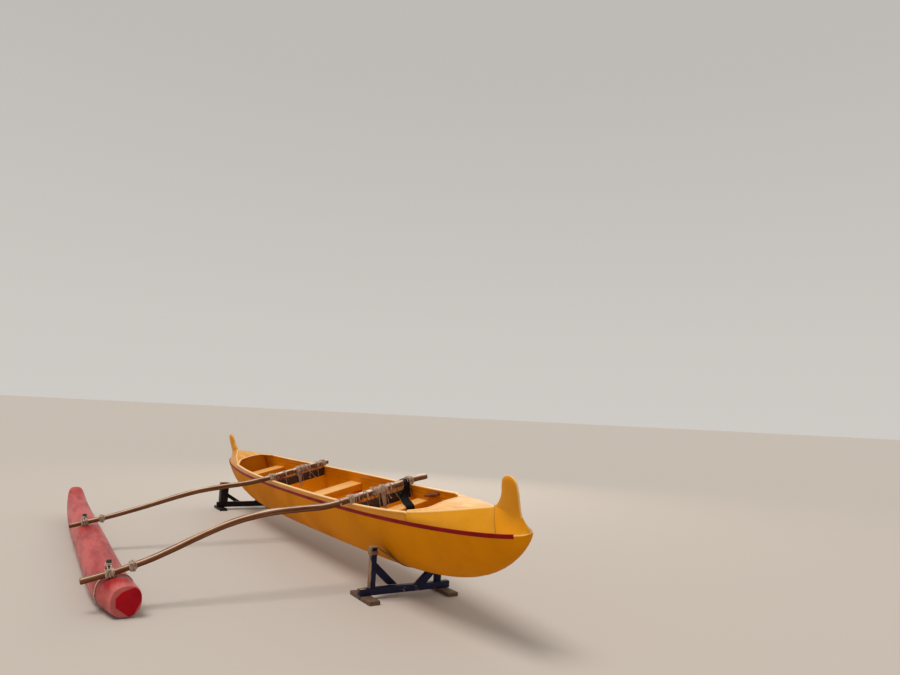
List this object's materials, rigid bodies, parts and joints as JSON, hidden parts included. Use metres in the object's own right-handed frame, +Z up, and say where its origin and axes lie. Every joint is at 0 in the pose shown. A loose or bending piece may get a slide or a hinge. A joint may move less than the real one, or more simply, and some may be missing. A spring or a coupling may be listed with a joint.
{
  "type": "outrigger canoe",
  "caption": "Narrow open canoe with end fins, joined by two curved crossbeams to a side float with an upturned tip, parked on low timber trestles.",
  "frame": {"origin": "middle of the bounding box, on the ground", "axes": "+X towards the bow, +Y to port, the float's side, +Z up"},
  "size_m": [6.3494, 2.5108, 1.0137],
  "materials": {
    "hull_yellow": "golden yellow gelcoat over glass fibre, weathered gloss",
    "stripe_crimson": "dark crimson gelcoat band",
    "beam_wood": "laminated hardwood under varnish",
    "dark_wood": "dark oiled wood",
    "rope": "off-white braided cord",
    "float_pink": "faded coral-pink gelcoat, chalky",
    "float_red": "bright crimson gelcoat",
    "trestle_blue": "dark blue painted timber, worn at the edges",
    "trestle_black": "black painted timber",
    "plank_wood": "weathered brown plank",
    "webbing": "tan webbing",
    "strap_black": "black webbing"
  },
  "bodies": {
    "root": {"hull_shell": "hull_yellow", "strake_port": "hull_yellow", "stripe_port": "stripe_crimson", "gunwale_port": "hull_yellow", "strake_starboard": "hull_yellow", "stripe_starboard": "stripe_crimson", "gunwale_starboard": "hull_yellow", "bow_deck": "hull_yellow", "bow_bulkhead": "hull_yellow", "bow_manu": "hull_yellow", "stern_deck": "hull_yellow", "stern_bulkhead": "hull_yellow", "stern_manu": "hull_yellow", "seat_fwd": "hull_yellow", "seat_ledger_fwd_port": "hull_yellow", "seat_ledger_fwd_starboard": "hull_yellow", "seat_mid": "hull_yellow", "seat_ledger_mid_port": "hull_yellow", "seat_ledger_mid_starboard": "hull_yellow", "seat_aft": "hull_yellow", "seat_ledger_aft_port": "hull_yellow", "seat_ledger_aft_starboard": "hull_yellow", "crossbeam_aft": "beam_wood", "spreader_aft": "dark_wood", "lashing_aft_port": "rope", "lashing_aft_starboard": "rope", "lashing_aft_centre": "rope", "lashing_aft_float": "rope", "float_peg_aft": "dark_wood", "sling_aft": "webbing", "trestle_aft_beam": "trestle_blue", "trestle_aft_foot_port": "plank_wood", "trestle_aft_post_port": "trestle_blue", "trestle_aft_brace_port": "trestle_blue", "trestle_aft_foot_starboard": "plank_wood", "trestle_aft_post_starboard": "trestle_blue", "trestle_aft_brace_starboard": "trestle_blue", "crossbeam_fwd": "beam_wood", "spreader_fwd": "dark_wood", "lashing_fwd_port": "rope", "lashing_fwd_starboard": "rope", "lashing_fwd_centre": "rope", "lashing_fwd_float": "rope", "float_peg_fwd": "dark_wood", "sling_fwd": "webbing", "trestle_fwd_beam": "trestle_black", "trestle_fwd_foot_port": "trestle_black", "trestle_fwd_post_port": "trestle_black", "trestle_fwd_brace_port": "trestle_black", "trestle_fwd_foot_starboard": "trestle_black", "trestle_fwd_post_starboard": "trestle_black", "trestle_fwd_brace_starboard": "trestle_black", "float_body": "float_pink", "float_face": "float_red", "float_band": "rope", "cleat": "dark_wood", "strap": "strap_black"}
  },
  "joints": []
}
